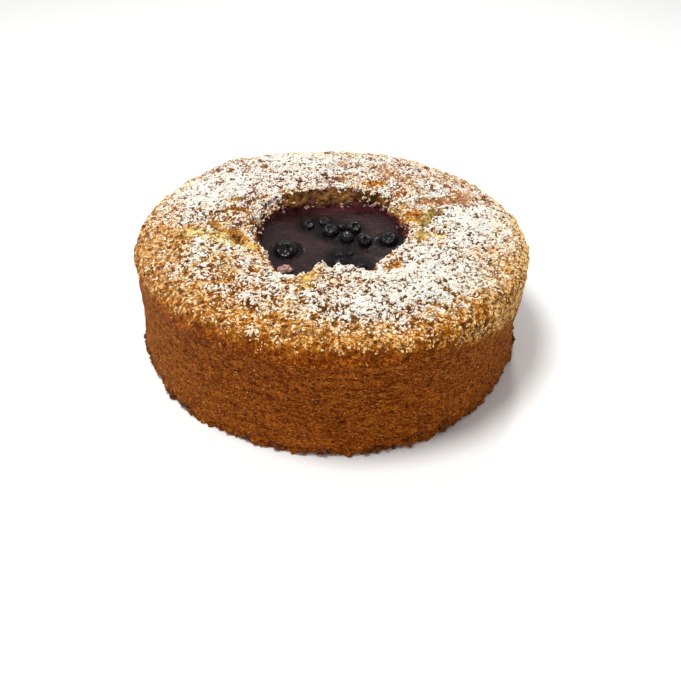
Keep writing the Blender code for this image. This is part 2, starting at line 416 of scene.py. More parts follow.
def makeSugarGroup():
    # Sifted sugar: specks where the cover is thin, a pitted white field where it is thick.
    tree, given, result = newGroup(
        "sugarDusting", {"Vector": "vector", "Cover": "value", "Hollow": "value"},
        {"Mask": "value", "Gap": "value", "Height": "value"})
    place, cover = given["Vector"], given["Cover"]
    coarse = noiseTexture(place, sugarSizes["coarse"], roughness=0.75, distortion=1.0)
    fine = noiseTexture(place, sugarSizes["fine"], detail=1.0)
    bends = noiseTexture(place, sugarSizes["veins"], roughness=0.6, distortion=1.0)
    heaps = noiseTexture(place, sugarSizes["heaps"], detail=1.0, distortion=0.5)
    grain = plus(times(coarse, 0.6), times(fine, 0.4))
    pits = pitField(place)
    veins = between(calc("ABSOLUTE", minus(bends, 0.5)), 0.03, 0.006)
    lack = plus(times(pits, spread(cover, 0.36, 0.2)), times(given["Hollow"], 0.25))
    lack = plus(lack, times(veins, 0.16))
    level = plus(minus(grain, lack), times(minus(heaps, 0.5), 0.5))
    mask = between(minus(level, spread(cover, 0.64, 0.355)), -0.008, 0.012)
    # Gap marks the low places between the sugar, which the crust material darkens as painted shade.
    feed(result, {
        "Mask": mask,
        "Gap": between(level, 0.395, 0.335),
        "Height": minus(plus(grain, times(mask, 0.2)), pits),
    })
    return tree


crustColours = {
    "goldLight": tint(250, 206, 140), "goldMiddle": tint(204, 131, 28),
    "goldDark": tint(158, 86, 8), "goldPore": tint(106, 42, 6),
    "brownLight": tint(188, 106, 30), "brownMiddle": tint(147, 69, 4),
    "brownDark": tint(110, 44, 1), "brownPore": tint(76, 26, 1),
    "bareLight": tint(252, 242, 180), "bareMiddle": tint(232, 206, 118),
    "bareDark": tint(190, 150, 56), "barePore": tint(140, 90, 24),
    # The gap colours are crust between the sugar, darkened as painted shade in the low places between the
    # heaps.
    "gapThin": tint(100, 48, 2), "gapThick": tint(84, 46, 10),       # crust between the sugar
    "gapDense": tint(122, 104, 76), "gapHazy": tint(112, 82, 72),
    "sugarThin": tint(255, 230, 182), "sugarThick": tint(241, 236, 222),
    "sugarLow": tint(252, 208, 134), "sugarHazy": tint(232, 208, 188),
    "sugarStained": tint(250, 228, 218), "juiceStain": tint(62, 24, 28),
    # glint is a painted highlight: bright specks put into the side's colour
    "haze": tint(178, 128, 98), "glint": tint(250, 184, 108),
}
sidePattern = {"flatten": 2.2, "below": 43.0}   # how much wider than high, and from what height in mm


def makeCrustMaterial(spongeGroup, sugarGroup):
    made, tree, shader = newMaterial("sponge crust", {"Specular IOR Level": 0.1})
    place = patternPlace(tree)
    bakeAndLight, bare, juice, haze, cover, shadedHollow, patternHeight = [attribute(tree, name) for name in (
        "bakeAndLight", "bare", "juice", "haze", "sugar", "shadedHollow", "patternHeight")]

    def sponge(kind, grain, contrast, paleness, pores):
        colours = {name: crustColours[kind + name] for name in ("Light", "Middle", "Dark", "Pore")}
        return useGroup(tree, spongeGroup, {
            "Vector": place, "Grain": grain, "Contrast": contrast, "Paleness": paleness, "Pores": pores,
            **colours})

    # Below 0 the tone makes the gold paler and more flecked, as painted light.
    gold = sponge("gold", 1.2, 3.0, spread(bakeAndLight, -0.02, -0.6), 0.7)
    brown, crumb = sponge("brown", 1.0, 3.2, 0.0, 0.6), sponge("bare", 1.1, 1.6, 0.0, 0.6)
    sugar = useGroup(tree, sugarGroup, {"Vector": place, "Cover": cover, "Hollow": shadedHollow})
    # Painted glints: sparse bright specks in the side's colour that stand in for highlights.
    paintedGlints = between(noiseTexture(place, 1.1, detail=1.0), 0.715, 0.735)
    # Painted shade: the crust in the low places between the sugar is darker.
    gap = times(sugar["Gap"], between(cover, -0.25, 0.6))
    gap = times(gap, spread(haze, 0.95, 0.45))
    gap = times(gap, spread(calc("MINIMUM", bakeAndLight, 0.0), 1.0, 1.9))
    shadedGapColour = layered(tree, crustColours["gapThin"], [
        (between(cover, 0.25, 0.7), crustColours["gapThick"]),
        (times(between(cover, 0.62, 1.0), 0.6), crustColours["gapDense"]),
        (haze, crustColours["gapHazy"]),
    ])
    white = layered(tree, crustColours["sugarThin"], [
        (between(cover, 0.12, 0.58), crustColours["sugarThick"]),
        (times(between(patternHeight, 51.4, 46.5), 0.85), crustColours["sugarLow"]),
        (times(haze, 0.6), crustColours["sugarHazy"]),
        (times(juice, 0.8), crustColours["sugarStained"]),
    ])
    colour = layered(tree, gold["Colour"], [
        (bakeAndLight, brown["Colour"]),
        (bare, crumb["Colour"]),
        # Painted shade in pores, dents, grooves and on the back of the crater's wall.
        (times(shadedHollow, 0.5), crustColours["brownPore"]),
        (times(paintedGlints, bakeAndLight), crustColours["glint"]),
        # The pale veil; on the side's left and right edges it is painted sheen.
        (haze, crustColours["haze"]),
        (gap, shadedGapColour),
        (juice, crustColours["juiceStain"]),
        (sugar["Mask"], white),
    ])
    height = plus(gold["Height"], times(sugar["Height"], between(cover, -0.1, 0.2)))
    feed(shader, {
        "Base Color": colour,
        "Roughness": spread(juice, 0.95, 0.4),
        "Normal": bumpFrom(height, 0.9, 0.65),
    })
    return made


def makeSugarMaterial():
    made, tree, shader = newMaterial(
        "icing sugar", {"Roughness": 0.75, "Subsurface Weight": 0.15, "Subsurface Scale": 0.4 * mm})
    place = inMillimetres(tree)
    height = addNode(tree, "ShaderNodeSeparateXYZ", {0: place}).outputs[2]
    colour = layered(tree, tint(244, 242, 234), [
        (between(noiseTexture(place, 4.0), 0.4, 0.75), tint(243, 232, 212)),
        (times(between(attribute(tree, "sugar"), 0.6, 0.15), 0.8), crustColours["sugarThin"]),
        (between(height, 51.0, 46.0), tint(252, 210, 142)),
        (times(between(attribute(tree, "juice"), 0.1, 0.7), 0.8), crustColours["sugarStained"]),
    ])
    feed(shader, {"Base Color": colour})
    return made


crumbColours = {               # light, middle, dark
    "stained": (tint(222, 188, 172), tint(190, 146, 134), tint(120, 74, 74)),
    "dark": (tint(150, 84, 36), tint(112, 54, 18), tint(70, 30, 10)),
}


def makeCrumbMaterial(kind, spongeGroup):
    made, tree, shader = newMaterial(kind + " crumb", {"Roughness": 0.85, "Specular IOR Level": 0.3})
    light, middle, dark = crumbColours[kind]
    sponge = useGroup(tree, spongeGroup, {
        "Vector": inMillimetres(tree), "Grain": 0.8, "Contrast": 1.4, "Paleness": 0.0, "Pores": 0.8,
        "Light": light, "Middle": middle, "Dark": dark, "Pore": dark})
    feed(shader, {"Base Color": sponge["Colour"], "Normal": bumpFrom(sponge["Height"], 0.6, 0.3)})
    return made


jellyColours = {
    "clear": tint(28, 11, 13),
    "cloudy": tint(48, 24, 24),
    "streaks": tint(68, 42, 42),
    "pulp": tint(62, 35, 35),
    "edge": tint(64, 22, 30),
    "darkAndShaded": tint(12, 8, 9),
}


def makeJellyMaterial():
    made, tree, shader = newMaterial("fruit jelly", {"IOR": 1.42})
    place = inMillimetres(tree)
    cloud = noiseTexture(place, 7.0, detail=3.0, roughness=0.6)
    pulp = noiseTexture(place, 1.3, detail=3.0, roughness=0.7)
    stretched = addNode(tree, "ShaderNodeMapping", {"Vector": place, "Scale": (0.14, 0.5, 0.5)}).outputs[0]
    streaks = noiseTexture(stretched, 1.0, detail=3.0, roughness=0.6, distortion=0.3)
    # Darker jelly round the berries and along the wall, partly painted shade and shadow.
    darkAndShaded = attribute(tree, "darkAndShaded")
    colour = layered(tree, jellyColours["clear"], [
        # Lighter cloudy patches and long streaks in the jelly's colour, partly painted sheen.
        (between(cloud, 0.35, 0.65), jellyColours["cloudy"]),
        (between(streaks, 0.48, 0.85), jellyColours["streaks"]),
        (between(pulp, 0.58, 0.74), jellyColours["pulp"]),
        (attribute(tree, "edge"), jellyColours["edge"]),
        (darkAndShaded, jellyColours["darkAndShaded"]),
    ])
    feed(shader, {
        "Base Color": colour,
        "Roughness": spread(between(pulp, 0.4, 0.7), 0.1, 0.32),
        "Specular IOR Level": spread(darkAndShaded, 0.4, 0.14),
        "Normal": bumpFrom(pulp, 0.4, 0.3),
    })
    return made


berryColours = {"skin": tint(12, 12, 12), "bloom": tint(34, 34, 36), "film": tint(32, 24, 26)}


def makeBerryMaterial():
    made, tree, shader = newMaterial("berry skin", {"Specular IOR Level": 0.12, "Coat Roughness": 0.1})
    film = attribute(tree, "film")
    bloom = noiseTexture(inMillimetres(tree), 1.6, detail=3.0, roughness=0.6)
    colour = layered(tree, berryColours["skin"], [
        (between(bloom, 0.45, 0.7), berryColours["bloom"]),
        (times(film, 0.5), berryColours["film"]),
    ])
    feed(shader, {
        "Base Color": colour,
        "Roughness": spread(bloom, 0.1, 0.5),
        "Coat Weight": spread(film, 1.0, 0.06),
        "Normal": bumpFrom(bloom, 0.5, 0.35),
    })
    return made


# ---- mesh helpers

def addObject(name, data):
    made = bpy.data.objects.new(name, data)
    bpy.context.scene.collection.objects.link(made)
    return made


def addMesh(name, points, faces, material, attributes):
    mesh = bpy.data.meshes.new(name)
    mesh.from_pydata(points.tolist(), [], faces)
    for label, values in attributes.items():
        layer = mesh.attributes.new(label, "FLOAT", "POINT")
        layer.data.foreach_set("value", np.ascontiguousarray(values, dtype=np.float32).ravel())
    mesh.materials.append(material)
    mesh.shade_smooth()
    return addObject(name, mesh)


def polarFaces(rings, columns):
    # Faces of a closed turned grid; ring 0 and the last ring are single points, stored first and last.
    column = np.arange(columns)
    following = (column + 1) % columns
    faces = [(0, 1 + a, 1 + b) for a, b in zip(column.tolist(), following.tolist())]
    inner = rings - 2
    for ring in range(inner - 1):
        start, nextStart = 1 + ring * columns, 1 + (ring + 1) * columns
        faces += np.stack([
            start + column, nextStart + column, nextStart + following, start + following], 1).tolist()
    last, end = 1 + (inner - 1) * columns, 1 + inner * columns
    faces += [(end, last + b, last + a) for a, b in zip(column.tolist(), following.tolist())]
    return faces


def polarList(grid):
    # A rings x columns array as a vertex list, with one vertex for each pole.
    return np.concatenate([grid[:1, :1].reshape(1, -1), grid[1:-1].reshape(-1, grid.shape[-1]),
                           grid[-1:, :1].reshape(1, -1)])


def gridNormals(grid):
    alongRings = np.gradient(grid, axis=0)
    alongColumns = np.roll(grid, -1, axis=1) - np.roll(grid, 1, axis=1)
    normals = np.cross(alongRings, alongColumns)
    return normals / np.maximum(np.linalg.norm(normals, axis=-1, keepdims=True), 1e-9)


def addTurned(name, grid, material, looks, flipped=False):
    # A closed turned piece from its grid of places in mm.
    faces = polarFaces(*grid.shape[:2])
    if flipped:
        faces = [face[::-1] for face in faces]
    attributes = {label: polarList(values[..., None]) for label, values in looks.items()}
    return addMesh(name, polarList(grid) * mm, faces, material, attributes)


def unitBall(rings, columns):
    fromTip = np.linspace(0, math.pi, rings)[:, None] * np.ones((1, columns))
    turn = directions(columns)[None] * np.ones((rings, 1))
    flat = np.sin(fromTip)[..., None] * outward(turn)
    return fromTip, turn, np.concatenate([flat, np.cos(fromTip)[..., None]], -1)


# ---- the cake's crust

relief = {                     # lump size and height in mm, seed, how much flatter than wide
    "topSwell": (11.0, 0.8, 1), "topLump": (4.2, 0.7, 2), "topGrain": (2.0, 0.8, 3),
    "sideSwell": (10.0, 0.4, 4, 1.4), "sideLump": (3.4, 0.4, 5, 1.8), "sidePore": (1.9, 1.0, 6, 2.0),
    "wallCrumb": (2.4, 1.1, 7), "wallSpeck": (1.3, 0.55, 8),
    "rimRagged": (3.8, 1.9, 9), "rimCrumb": (1.5, 1.8, 10), "rimRise": (2.2, 1.2, 13),
    "footRagged": (3.6, 1.5, 11), "footCrumb": (1.5, 1.7, 12),
    # from here on lumps in the looks, with a strength in place of the height
    "patches": (9.0, 1.0, 20), "clusters": (4.6, 1.0, 25), "blotches": (2.4, 1.0, 26),
    "toneWaver": (3.0, 2.4, 21), "hazeChange": (1.6, 0.7, 28),
    "juiceWaves": (5.0, 2.2, 22), "juiceRipples": (1.8, 1.4, 23),
    "crumbPlaces": (7.0, 1.0, 24), "soakedPlaces": (6.0, 1.0, 27),
}

ramps = {                      # where a change begins, where it is full, its amount; places in mm
    "besideRim": (0, 4, 1), "topHeights": (38, 44, 1), "sideHeights": (45, 39, 1), "wallHeights": (44, 46, 1),
    "backWall": (0.2, 0.7, 1),
    "lipLoss": (46, 42, 1), "outerLoss": (69, 79, 0.12), "towardsFront": (20, -40, 1),           # of sugar
    "lowLoss": (48.5, 42, 0.45), "sideLoss": (47, 34, 0.4), "upperWall": (46.6, 49.8, 1),
    "backRim": (49.4, 50.6, 0.4),
    "darkEdge": (51, 46, 0.2), "paintedLightHeights": (26, 34, 1), "paintedLightReach": (60, 70, 1),
    "hazeRight": (-20, 30, 0.25), "hazeBack": (5, 50, 1), "hazeHeights": (43, 48, 1),
    "paintedSheenReach": (58, 74, 1), "paintedSheenHeights": (28, 46, 1),
    "juiceFade": (2.4, -1.2, 1), "widePores": (18, 34, 3), "dents": (0.08, -0.36, 1),
    "dusted": (34, 40, 1), "frontHeaps": (10, -10, 1.5), "specks": (0.02, 0.45, 1),
    "lowWall": (48, 45.5, 1), "crumbPlaces": (-0.1, 0.5, 1), "soakedPlaces": (-0.1, 0.4, 1),
}

turned = {                     # direction and spread in degrees, amount
    "backWall": [(84, 46, 1.0)],
    "goldDrop": [(-13, 38, 20.0), (180, 34, 6.5)],       # mm by which the tone of the side starts lower
    "fading": [(-13, 38, 4.0)],                          # mm more for the change to that tone
    # Painted light: the side is paler towards the left, where the light falls, and towards the right, as a
    # grazing sheen.
    "paintedSideLight": [(180, 48, 0.4), (0, 40, 0.28)],
    # Painted light: the right lip and, a little, the left shoulder are paler gold, where light falls on them.
    "paintedLightEdge": [(-20, 28, 0.55), (180, 40, 0.1)],
    "bareSide": [(185, 52, 0.05), (0, 45, 0.035)],
    "bareWall": [(44, 16, 0.3)],
    # Painted sheen: a pale veil on the side towards its left and right edges, where the crust is seen at a
    # grazing angle.
    "paintedSheenEdge": [(182, 40, 0.28), (18, 20, 0.3)],
    "rimLoss": [(92, 32, 0.1)],                          # of sugar
    "lipLoss": [(-8, 34, 0.14)],
    "juiceRise": [(138, 18, -1.0), (158, 14, 0.6), (176, 26, -1.2), (192, 24, 0.8), (8, 24, 0.8)],   # mm
    "soakedWall": [(166, 40, 1.0)],
}

dustings = {                   # x, y, radius, change of the cover; all in mm but the last
    "base": 0.52,
    "patches": 0.22,           # how much the lumps of that name change it
    "clusters": 0.28,
    "stainedLoss": 0.3,
    "spots": [
        (-50, 32, 27, 0.41), (-8, 62, 24, 0.27), (60, 3, 20, 0.43), (37, -36, 20, 0.42), (6, -52, 18, 0.16),
        (-62, -42, 26, -0.36), (-68, -4, 14, -0.08), (62, -50, 20, -0.42), (0, -80, 22, -0.36),
        (-34, -74, 22, -0.18), (34, -76, 20, -0.2), (16, -62, 9, 0.1), (48, -54, 26, 0.15),
        (-48, -24, 8, 0.3), (-66, 48, 26, -0.15), (12, -60, 8, 0.3), (18, -12, 26, -0.18),
        (-36, -60, 8, -0.22), (-60, -42, 8, 0.2), (12, 66, 8, -0.2), (-24, -48, 8, 0.16), (48, -36, 12, 0.1),
        (66, 6, 8, 0.05), (-44, 3, 4, -0.2), (-34, -8, 3, -0.25), (-7, -42, 4, -0.3), (4, -44, 14, 0.1),
        (-21, 40, 9, 0.15), (42, -66, 12, -0.18), (67, -20, 10, -0.22), (30, 0, 26, -0.08),
        (-42, 54, 26, -0.06), (-66, 36, 8, -0.15), (-72, -4, 16, -0.26), (0, -48, 8, -0.1),
    ],
    "bareSpots": [             # sharp edged places with hardly any sugar
        (36, 9, 5.0, -0.6), (26, -30, 2.8, -1.0), (56, 24, 6.0, -0.6), (-8, -36, 5.0, -0.5),
    ],
    "wall": [                  # direction, spread, change, the heights between which it sets in
        (138, 18, 0.3, 44.2, 46.8), (64, 9, 0.2, 45.5, 47.5), (44, 13, 0.35, 45.0, 47.5),
    ],
}

stains = [                     # x, y, radius, share of juice in the crust beside the crater
    (-1, 43, 6, 0.8), (-13, 40, 6, 0.75), (-24, 34, 6, 0.55), (-31, 27, 6, 0.75), (-35, 18, 5, 0.8),
    (-34, 3, 6, 0.8), (36, 8, 3, 0.3),
]
toneEdge = {"height": 47.0, "halfWidth": 2.0}      # mm, where gold turns to brown
juiceHeight = 46.6             # mm, how far the juice has climbed the crater's wall
paleSpot = (-42, -18, 14, 0.25)          # x, y, radius, amount
hazySpot = (57, 25, 8, 0.5)
brownSpot = (46, 40, 30, 0.3)

fold = {                       # where crust is folded over beside the crater, places in mm
    "groove": [(-49, 6), (-47, -1.5), (-43.5, -4.8), (-40, -5), (-33, -12)],
    "slot": [(-41.5, 11.7), (-35, 11.2)],
    "smallSlot": [(-42.5, 18.5), (-37, 23.5)],
    "crumbBelow": [(-57, -6), (-50, -7), (-43, -9.5), (-34, -15)],
    "lipBelow": [(-34, -13.5), (-27.5, -19)],
    "frontTear": [(-8, -26), (-8, -46)],
    "rightGroove": [(29.5, 9.5), (38.5, 2.5), (46, 12)],
    "rightDrop": [(38.5, 2.5), (37.6, -12)],
    "rightStreak": [(38.5, -7.5), (46, -6)],
    "rightSeam": [(38, 21), (49, 23), (59, 19)],
    "backStreak": [(15.7, 37), (23.8, 37)],
    "paleSeam": [(32, 24.5), (40, 25), (50, 26)],
}
fold["grooveTop"], fold["grooveFoot"] = fold["groove"][:3], fold["groove"][2:]

foldEffects = {                # fold, half width in mm, amount
    "cover": [
        ("grooveTop", 1.5, -1.1), ("grooveFoot", 1.8, -1.1), ("slot", 2.0, -1.6), ("smallSlot", 1.1, -0.9),
        ("crumbBelow", 2.8, -0.3), ("lipBelow", 1.8, -0.35), ("rightGroove", 1.8, -0.8),
        ("rightDrop", 1.8, -0.3), ("rightStreak", 2.3, -0.8), ("rightSeam", 1.6, -0.3),
        ("backStreak", 1.5, -0.9), ("paleSeam", 0.8, 0.7),
    ],
    "bare": [
        ("crumbBelow", 3.2, 1.0), ("lipBelow", 2.2, 0.9), ("rightGroove", 3.2, 0.9), ("rightStreak", 2.6, 1.0),
        ("rightDrop", 2.0, 0.6), ("smallSlot", 2.0, 0.5), ("frontTear", 3.0, 0.7),
    ],
    "brown": [("grooveFoot", 2.0, 0.8)],
    "seam": [("grooveTop", 1.4, 0.2)],
    "haze": [("rightSeam", 3.0, 0.4), ("backStreak", 3.0, -0.5)],
    "shadedHollow": [
        ("groove", 1.6, 0.4), ("slot", 1.6, 1.1), ("smallSlot", 0.8, 0.9), ("rightGroove", 2.4, 0.9),
        ("rightDrop", 1.4, 0.4),
    ],
    "height": [
        ("slot", 1.1, -1.0), ("smallSlot", 0.9, -0.6), ("rightGroove", 1.3, -1.2), ("rightDrop", 1.0, -0.5),
    ],
}


def alongFolds(x, y, effect):
    return sum(amount * bell(awayFromPath(x, y, fold[name]), halfWidth)
               for name, halfWidth, amount in foldEffects[effect])


def foldRelief(x, y):
    # The folded crust's edge stands up beside its groove, on the side of the crater.
    across = awayFromPath(x, y, fold["groove"])
    height = 1.1 * bell(across - 1.7, 1.4) - 0.8 * bell(across + 0.2, 1.1)
    return height + alongFolds(x, y, "height")


crustMap = {"sheet": 266.0, "disc": 88.0, "strip": 44.0, "small": 42.0, "hole": 30.0}   # mm


def crustUv(grid):
    # The map of the crust: one disc for the top, four strips for the side, two small discs.
    sheet, disc, strip, small, hole = crustMap.values()
    lengths, columns = grid.lengths, cake["columns"]
    perStrip = columns // 4
    topStart, sideStart, underStart = [
        lengths[grid.zones.index(name) - 1] for name in ("wall", "side", "under")]
    ringOf, columnOf = np.divmod(np.arange((len(lengths) - 1) * columns), columns)
    stripOf = columnOf // perStrip
    isTop, isSide, isBowl = [
        np.isin(np.array(grid.zones)[ringOf + 1], names)[:, None]
        for names in (["wall", "crown", "shoulder"], ["side", "foot"], ["bowl"])]
    corners = []
    for ringStep, columnStep in [(0, 0), (1, 0), (1, 1), (0, 1)]:
        length = lengths[ringOf + ringStep]
        turn = (columnOf + columnStep) / columns * 2 * math.pi
        away = outward(turn)
        top = (disc, disc) + away * (hole + length - topStart)[:, None]
        bowl = (1.5 * small + disc, 2 * disc + small) + away * (small * 0.95 * length / topStart)[:, None]
        underShare = (lengths[-1] - length) / (lengths[-1] - underStart)
        under = (small, 2 * disc + small) + away * (small * 0.95 * underShare)[:, None]
        inStrip = (columnOf + columnStep) / perStrip - stripOf
        side = np.stack([
            2 * disc + 1 + strip * (stripOf // 2) + (length - sideStart) * 0.98,
            1 + (stripOf % 2) * (sheet / 2) + inStrip * (sheet / 2 - 3)], -1)
        corners.append(np.where(isTop, top, np.where(isSide, side, np.where(isBowl, bowl, under))))
    return np.stack(corners, 1).reshape(len(lengths) - 1, columns, 4, 2) / sheet


def ramp(name, value):
    low, high, amount = ramps[name]
    return amount * smooth(low, high, value)


def within(grid, *names):
    return np.isin(grid.zone, names)


def lumps(grid, name):
    size, height, seed, *flatten = relief[name]
    return height * noiseField(grid.x, grid.y, grid.z, size, seed, *flatten)


def facing(grid, name):
    return swell(turned[name], grid.angle)


def crustGrid():
    # The half section turned and bent, one row for each ring, from the crater's middle to the underside's.
    sections, zones = [], []
    for zone, points, spacing in cakeStretches():
        found = evenly(points, spacing)
        sections.append(found if not sections else found[1:])
        zones += [zone] * len(sections[-1])
    section = np.concatenate(sections)
    rounded = section.copy()
    for _ in range(2):                              # softens the corners of the half section
        rounded[1:-1] = (rounded[:-2] + 2 * rounded[1:-1] + rounded[2:]) / 4
    keep = np.isin(zones, ["bowl", "foot", "under"])
    section = np.where(keep[:, None], section, rounded)
    columns = cake["columns"]
    grid = SimpleNamespace(zones=zones, zone=np.repeat(np.array(zones)[:, None], columns, axis=1))
    grid.lengths = np.concatenate([[0], np.cumsum(np.hypot(*np.diff(section, axis=0).T))])
    grid.radius, grid.evenZ = [np.repeat(section[:, axis:axis + 1], columns, axis=1) for axis in (0, 1)]
    grid.angle = np.repeat(directions(columns)[None], len(section), axis=0)
    grid.x, grid.y, grid.z = bendToShape(grid.radius, grid.angle, grid.evenZ)
    return grid


def addParts(grid):
    # Where the parts of the crust are, each 0 to 1, and the lumps that both the form and the looks need.
    beyondRim = (grid.lengths - grid.lengths[grid.zones.index("crown")])[:, None]
    grid.rimNear = bell(beyondRim, 2.6) * within(grid, "wall", "crown")
    grid.footNear = bell(grid.evenZ - 1.5, 2.4) * within(grid, "side", "foot")
    grid.onTop = ramp("besideRim", beyondRim) * ramp("topHeights", grid.evenZ)
    grid.onSide = ramp("sideHeights", grid.evenZ) * within(grid, "shoulder", "side", "foot")
    grid.onWall = within(grid, "wall")
    grid.backWall = ramp("backWall", facing(grid, "backWall"))
    grid.goldDrop = facing(grid, "goldDrop")
    grid.grain = lumps(grid, "topGrain")
    grid.pores = np.maximum(lumps(grid, "sidePore") - 0.16, 0)
    grid.patches, grid.clusters = lumps(grid, "patches"), lumps(grid, "clusters")
    grid.blotches = lumps(grid, "blotches")
    grid.stained = np.clip(spots(grid.x, grid.y, stains) * (0.8 + 1.4 * grid.blotches), 0, 0.85)


def roughened(grid):
    even = np.stack([grid.x, grid.y, grid.z], -1)
    onWall = grid.onWall * ramp("wallHeights", grid.evenZ)
    push = grid.onTop * (lumps(grid, "topSwell") + lumps(grid, "topLump") + grid.grain)
    push += grid.onTop * foldRelief(grid.x, grid.y)
    push += grid.onSide * (lumps(grid, "sideSwell") + lumps(grid, "sideLump") - grid.pores)
    push += onWall * (lumps(grid, "wallCrumb") + lumps(grid, "wallSpeck"))
    push += grid.footNear * (lumps(grid, "footRagged") + lumps(grid, "footCrumb"))
    placed = even + gridNormals(even) * push[..., None]
    ragged = grid.rimNear * (lumps(grid, "rimRagged") + lumps(grid, "rimCrumb"))
    placed[..., :2] += outward(grid.angle) * ragged[..., None]
    placed[..., 2] = np.maximum(placed[..., 2] + grid.rimNear * lumps(grid, "rimRise"), 0.0)
    return placed


def sugarCover(grid):
    # Below 0 no sugar, at 1 a closed white field.
    x, y, z = grid.x, grid.y, grid.evenZ
    cover = dustings["base"] + alongFolds(x, y, "cover")
    cover += spots(x, y, dustings["spots"] + dustings["bareSpots"])
    cover += dustings["patches"] * grid.patches + dustings["clusters"] * grid.clusters
    cover -= dustings["stainedLoss"] * grid.stained + grid.rimNear * facing(grid, "rimLoss")
    cover -= facing(grid, "lipLoss") * ramp("lipLoss", z) + ramp("lowLoss", z + grid.goldDrop)
    cover -= ramp("outerLoss", np.hypot(x, y)) * ramp("towardsFront", y)
    lowered = z + 0.6 * grid.goldDrop + 7 * grid.clusters
    cover -= ramp("sideLoss", lowered) * within(grid, "side", "foot")
    wall = (0.42 - 0.57 * grid.backWall) * ramp("upperWall", z) + grid.backWall * ramp("backRim", z)
    for centre, width, amount, low, high in dustings["wall"]:
        wall += swell([(centre, width, amount)], grid.angle) * smooth(low, high, z)
    cover = np.where(grid.onWall, wall + 0.2 * grid.clusters, cover)
    return np.clip(np.where(within(grid, "bowl", "under"), -0.4, cover), -0.4, 1.0)


def bakeAndLightTone(grid):
    # -0.6 is pale gold, 0 gold and 1 brown; the tone also carries painted light on the sides and painted shade
    # on the crater's wall.
    fading = toneEdge["halfWidth"] + facing(grid, "fading")
    lowered = grid.evenZ + grid.goldDrop + lumps(grid, "toneWaver")
    tone = smooth(toneEdge["height"] + fading, toneEdge["height"] - fading, lowered)
    # Painted light: less brown on the left and right sides.
    tone *= within(grid, "shoulder", "side", "foot", "under") * (1 - facing(grid, "paintedSideLight"))
    edge = ramp("darkEdge", grid.evenZ) * (1 - grid.onWall)
    # Painted light: the right lip and the left shoulder turn paler gold.
    edge -= facing(grid, "paintedLightEdge") * ramp("paintedLightHeights", grid.evenZ) * ramp("paintedLightReach", grid.radius)
    # The crater's wall is browner, most at the back, partly baked crust and partly painted shade.
    wall = (0.5 + 0.5 * grid.backWall) * grid.onWall
    behind = spots(grid.x, grid.y, [brownSpot]) * grid.onTop
    return np.clip(tone + edge + wall + behind + 0.3 * grid.patches, -0.6, 1)


def bareCrumb(grid):
    x, y = grid.x, grid.y
    top = alongFolds(x, y, "bare") + spots(x, y, [paleSpot])
    top = top * (1 - alongFolds(x, y, "brown")) + alongFolds(x, y, "seam")
    wall = facing(grid, "bareWall") + 0.3 * grid.backWall
    return np.clip(top * grid.onTop + wall * grid.onWall + facing(grid, "bareSide") * grid.onSide, 0, 1)


def hazeCover(grid):
    x, y, z = grid.x, grid.y, grid.evenZ
    haze = (0.4 + ramp("hazeRight", x)) * ramp("hazeBack", y) * ramp("hazeHeights", z) * grid.onTop
    haze += spots(x, y, [hazySpot]) + alongFolds(x, y, "haze")
    # Painted sheen: the pale veil on the side near its left and right edges.
    haze += facing(grid, "paintedSheenEdge") * ramp("paintedSheenReach", grid.radius) * ramp("paintedSheenHeights", z)
    return np.clip(haze * (0.75 + lumps(grid, "hazeChange")), 0, 0.85)


def juiceSoak(grid):
    edge = juiceHeight + lumps(grid, "juiceWaves") + lumps(grid, "juiceRipples")
    edge += facing(grid, "juiceRise") - 0.8 * grid.backWall
    soaked = np.maximum(
        grid.backWall * np.clip(0.3 + 0.9 * grid.blotches, 0.05, 0.8),
        facing(grid, "soakedWall") * np.clip(0.4 + 0.7 * grid.blotches, 0.1, 0.8))
    wall = np.maximum(ramp("juiceFade", grid.evenZ - edge), grid.stained + soaked)
    juice = np.clip(np.where(grid.onWall, wall, grid.stained * grid.onTop), 0, 1)
    return np.where(within(grid, "bowl"), 1.0, juice)


def shadedHollows(grid):
    # Pores, dents, grooves and the back of the crater's wall: the crust darkens them as painted shade, and the
    # sugar thins in them.
    side = grid.onSide * grid.pores * (3.0 + ramp("widePores", grid.evenZ))
    top = grid.onTop * (ramp("dents", grid.grain) + alongFolds(grid.x, grid.y, "shadedHollow"))
    return np.clip(side + top + grid.onWall * grid.backWall, 0, 1.6)


def buildCrust(material):
    grid = crustGrid()
    addParts(grid)
    placed, shift, cover = roughened(grid), centreShift(grid), sugarCover(grid)
    placed[..., :2] += shift
    below = np.minimum(placed[..., 2] - sidePattern["below"] + 0.65 * grid.goldDrop, 0)
    dusted = within(grid, "wall", "crown", "shoulder", "side") * ramp("dusted", grid.evenZ)
    heaped = np.clip(cover, 0, 1) ** 2.5 * (1 + grid.rimNear * ramp("frontHeaps", grid.y))
    lowWall = grid.onWall * grid.backWall * ramp("lowWall", grid.evenZ)
    crust = addTurned("cakeCrust", placed, material, {
        "sugar": cover,
        "bakeAndLight": bakeAndLightTone(grid),
        "bare": bareCrumb(grid),
        "juice": juiceSoak(grid),
        "shadedHollow": shadedHollows(grid),
        "haze": hazeCover(grid),
        "patternHeight": placed[..., 2] + (sidePattern["flatten"] - 1) * below,
        "sugarHeap": dusted * heaped,
        "sugarSpeck": dusted * ramp("specks", cover),
        "footCrumb": grid.footNear * ramp("crumbPlaces", lumps(grid, "crumbPlaces")),
        "soakedCrumb": lowWall * ramp("soakedPlaces", lumps(grid, "soakedPlaces")),
    })
    addCrustMap(crust.data, crustUv(grid))
    return crust, shift


